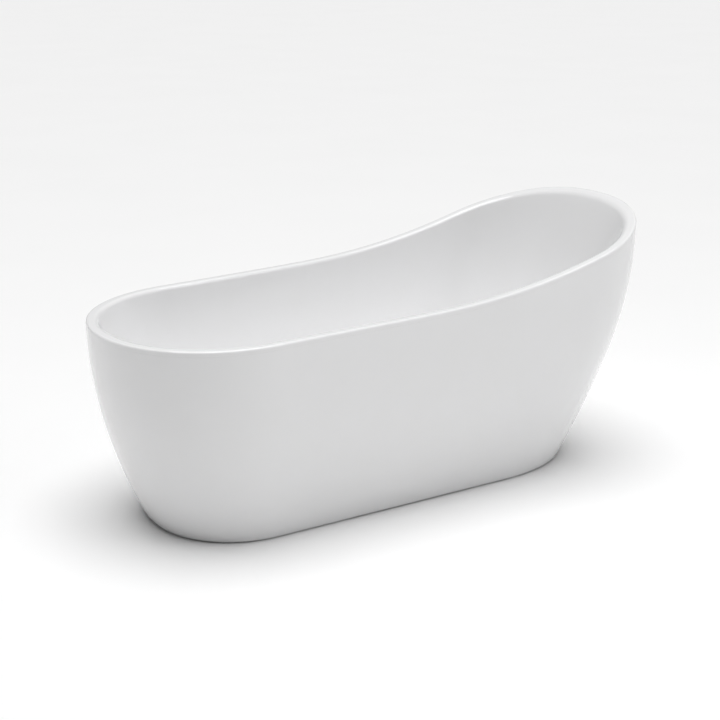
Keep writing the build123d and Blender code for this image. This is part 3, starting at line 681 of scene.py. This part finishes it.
def eased(corners):
    """Outline whose corners are rounded off: each corner is (radius, level, easing)."""
    points = []
    for i, (radius, level, easing) in enumerate(corners):
        here = Vector((radius, level))
        before = (Vector(corners[i - 1][:2]) - here).normalized() * easing
        after = (Vector(corners[(i + 1) % len(corners)][:2]) - here).normalized() * easing
        for share in (0, 0.25, 0.5, 0.75, 1) if easing else (0,):
            points.append(here + before * (1 - share) ** 2 + after * share**2)
    return points


def turned(name, outline, matrix, material):
    """Piece turned on the Z axis of matrix from its outline of (radius, level) in millimetres."""
    bm = bmesh.new()
    verts = [bm.verts.new((radius * MM, 0, level * MM)) for radius, level in outline]
    for first, last in zip(verts, verts[1:]):
        bm.edges.new((first, last))
    outline_geom = bm.verts[:] + bm.edges[:]
    bmesh.ops.spin(
        bm, geom=outline_geom, cent=(0, 0, 0), axis=(0, 0, 1), angle=2 * pi, steps=96, use_merge=True
    )
    bmesh.ops.remove_doubles(bm, verts=bm.verts, dist=1e-6)
    bmesh.ops.transform(bm, matrix=matrix, verts=bm.verts)
    return finish_mesh(bm, name, material)


def on_axis(x, y):
    """Matrix of a vertical axis."""
    return Matrix.Translation((x * MM, y * MM, 0))


def make_plug():
    """Domed cap of the push button, with the boss that carries its seal."""
    radius, top = 85.0, 167.5
    dome = [(x, top - radius + sqrt(radius**2 - x**2)) for x in spread(0, 29.9, 14)]
    boss = eased([(0, 158, 0), (18.9, 158, 0.5), (18.9, 161.5, 0.3), (30.4, 161.5, 0.2), (31, 161.9, 0)])
    cap = turned("plug_dome", boss + dome[::-1], on_axis(DRAIN_X, 0), materials["chrome"])
    place_fitting(cap, "plug", "plug_cap")


def make_pads():
    """Swivel pads of the levelling feet, with eased edges and a raised collar."""
    foot = [(0, 3, 0), (24.6, 3, 0.3), (25, 7.2, 0.8), (23, 8, 0.4)]
    collar = [(15.2, 16, 0.6), (13, 18, 0.8), (4.6, 18, 0.4), (4.6, 14, 0)]
    socket = [(8.05, 14, 0), (8.05, 8, 0), (0, 8, 0)]
    outline = eased(foot + collar + socket)
    for number, (x, y) in enumerate(FEET, 1):
        pad = turned(f"swivel_pad_{number}", outline, on_axis(x, y), materials["nylon"])
        place_fitting(pad, f"foot_{number}", f"foot_pad_{number}")


def hexagon_radius(angle, flats):
    """Radius of a hexagonal bar at an angle."""
    from_flat = (angle + pi / 6) % (pi / 3) - pi / 6
    return flats / 2 / cos(from_flat)


def stud_outline(angle):
    """Outline of a stud at an angle: ball head, neck, spanner hexagon and climbing thread."""
    corner, chamfer = hexagon_radius(angle, GRIP_FLATS), GRIP_FLATS / 2 - 0.3
    slope = (corner - chamfer) * 0.6
    head = [(0, 8.05), (7.5, 8.05), (7.95, 8.5), (7.95, 13.5), (7.5, 13.95), (4.5, 13.95)]
    grip = [(4.5, 22), (chamfer, 22), (corner, 22 + slope), (corner, 30 - slope), (chamfer, 30), (5.5, 30)]
    steps = round((THREAD_TOP - THREAD_FOOT) / THREAD_PITCH * THREAD_STEPS)
    thread = []
    for i in range(steps + 1):
        phase = (i / THREAD_STEPS - angle / (2 * pi)) % 1
        radius = THREAD_R - THREAD_DEPTH * abs(2 * phase - 1)
        thread.append((radius, THREAD_FOOT + i / THREAD_STEPS * THREAD_PITCH))
    return head + grip + thread + [(5.0, 107.6), (4.6, 108), (0, 108)]


def make_studs():
    """Threaded studs of the levelling feet."""
    for number, (x, y) in enumerate(FEET, 1):
        rows = []
        for angle in spread(0, 2 * pi, 48)[:-1]:
            rows.append([(x + r * cos(angle), y + r * sin(angle), z) for r, z in stud_outline(angle)])
        bm, _ = wrap(rows)
        weld(bm)
        stud = finish_mesh(bm, f"threaded_stud_{number}", materials["zinc"])
        place_fitting(stud, f"foot_{number}_stud", f"foot_stud_{number}")


def smooth_line(route, step):
    """Points a step apart along a smooth curve over a route in the plane Y = 0."""
    curve = bpy.data.curves.new("route", "CURVE")
    curve.dimensions = "3D"
    curve.resolution_u = 60
    spline = curve.splines.new("NURBS")
    spline.points.add(len(route) - 1)
    for point, (x, z) in zip(spline.points, route):
        point.co = (x, 0, z, 1)
    spline.order_u = 3
    spline.use_endpoint_u = True
    guide = bpy.data.objects.new("route", curve)
    mesh = bpy.data.meshes.new_from_object(guide)
    line = [Vector((vert.co.x, vert.co.z)) for vert in mesh.vertices]
    for data in (guide, mesh, curve):
        bpy.data.batch_remove([data])
    points = [line[0]]
    walked, due = 0.0, step
    for a, b in zip(line, line[1:]):
        reach = (b - a).length
        while walked + reach >= due:
            points.append(a.lerp(b, (due - walked) / reach))
            due += step
        walked += reach
    return points + [line[-1]]


def hose_route():
    """Route of the hose from the drain's inlet up to the overflow's spigot, as (x, z)."""
    matrix = overflow_plane()
    inward, upward = matrix.col[2].to_3d(), matrix.col[0].to_3d()
    spigot = matrix.translation / MM - inward * SPIGOT_DEPTH
    ends = [spigot - upward * 106, spigot - upward * 36]
    return HOSE_CORNERS + [(end.x, end.z) for end in ends]


def beside(middle, radius, angle):
    """Point at a radius from a middle of the hose, which is a place and the direction across it."""
    here, out = middle
    side = radius * cos(angle)
    return here.x + side * out.x, radius * sin(angle), here.y + side * out.y


def make_hose():
    """Corrugated waste hose from the drain's tee up to the overflow, with plain cuffs."""
    line = smooth_line(hose_route(), HOSE_PITCH / 6)
    middles = []
    for i, here in enumerate(line):
        ahead = line[min(i + 1, len(line) - 1)] - line[max(i - 1, 0)]
        middles.append((here, Vector((-ahead.y, ahead.x)).normalized()))
    cuff = round(HOSE_CUFF / HOSE_PITCH) * 6
    rows = []
    for angle in spread(0, 2 * pi, 40)[:-1]:
        row = []
        for i, middle in enumerate(middles):
            wave = sqrt((1 + cos(2 * pi * i / 6)) / 2) if cuff < i < len(line) - cuff else 1
            row.append(beside(middle, HOSE_R - 0.05 - HOSE_GROOVE * (1 - wave), angle))
        rows.append(row + [beside(middle, HOSE_BORE_R + 0.1, angle) for middle in middles[::-4]])
    bm, _ = wrap(rows)
    weld(bm)
    hose = finish_mesh(bm, "corrugated_hose", materials["hose"], sharp=radians(70))
    place_fitting(hose, "bath", "overflow_hose")


def spring_rise(share):
    """Share of the climb: slow over the closed coil at each end."""
    ground = 1 / SPRING_COILS
    slow = 2 * SPRING_WIRE_R / (SPRING_LEVELS[1] - SPRING_LEVELS[0])
    if share < ground:
        return share / ground * slow
    if share > 1 - ground:
        return 1 - (1 - share) / ground * slow
    return slow + (share - ground) / (1 - 2 * ground) * (1 - 2 * slow)


def make_spring():
    """Return spring of the push button, with closed ends."""
    low, high = SPRING_LEVELS[0] + SPRING_WIRE_R, SPRING_LEVELS[1] - SPRING_WIRE_R
    steps = SPRING_COILS * 28
    rows = []
    for around in spread(0, 2 * pi, 10)[:-1]:
        row = []
        for share in spread(0, 1, steps):
            wire = SPRING_WIRE_R if 0 < share < 1 else 0
            turn = 2 * pi * SPRING_COILS * share
            radius = SPRING_R - SPRING_WIRE_R - 0.02 + wire * cos(around)
            level = low + (high - low) * spring_rise(share) + wire * sin(around)
            row.append((DRAIN_X + radius * cos(turn), radius * sin(turn), level))
        rows.append(row)
    bm, _ = wrap(rows)
    weld(bm)
    spring = finish_mesh(bm, "coil_spring", materials["spring"], sharp=radians(80))
    place_fitting(spring, "bath", "plug_spring")
    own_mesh(spring)


make_camera()
make_studio()
make_floor()
materials = make_materials()
dress_cad_nodes()
make_shells()
make_plug()
make_pads()
make_studs()
make_hose()
make_spring()
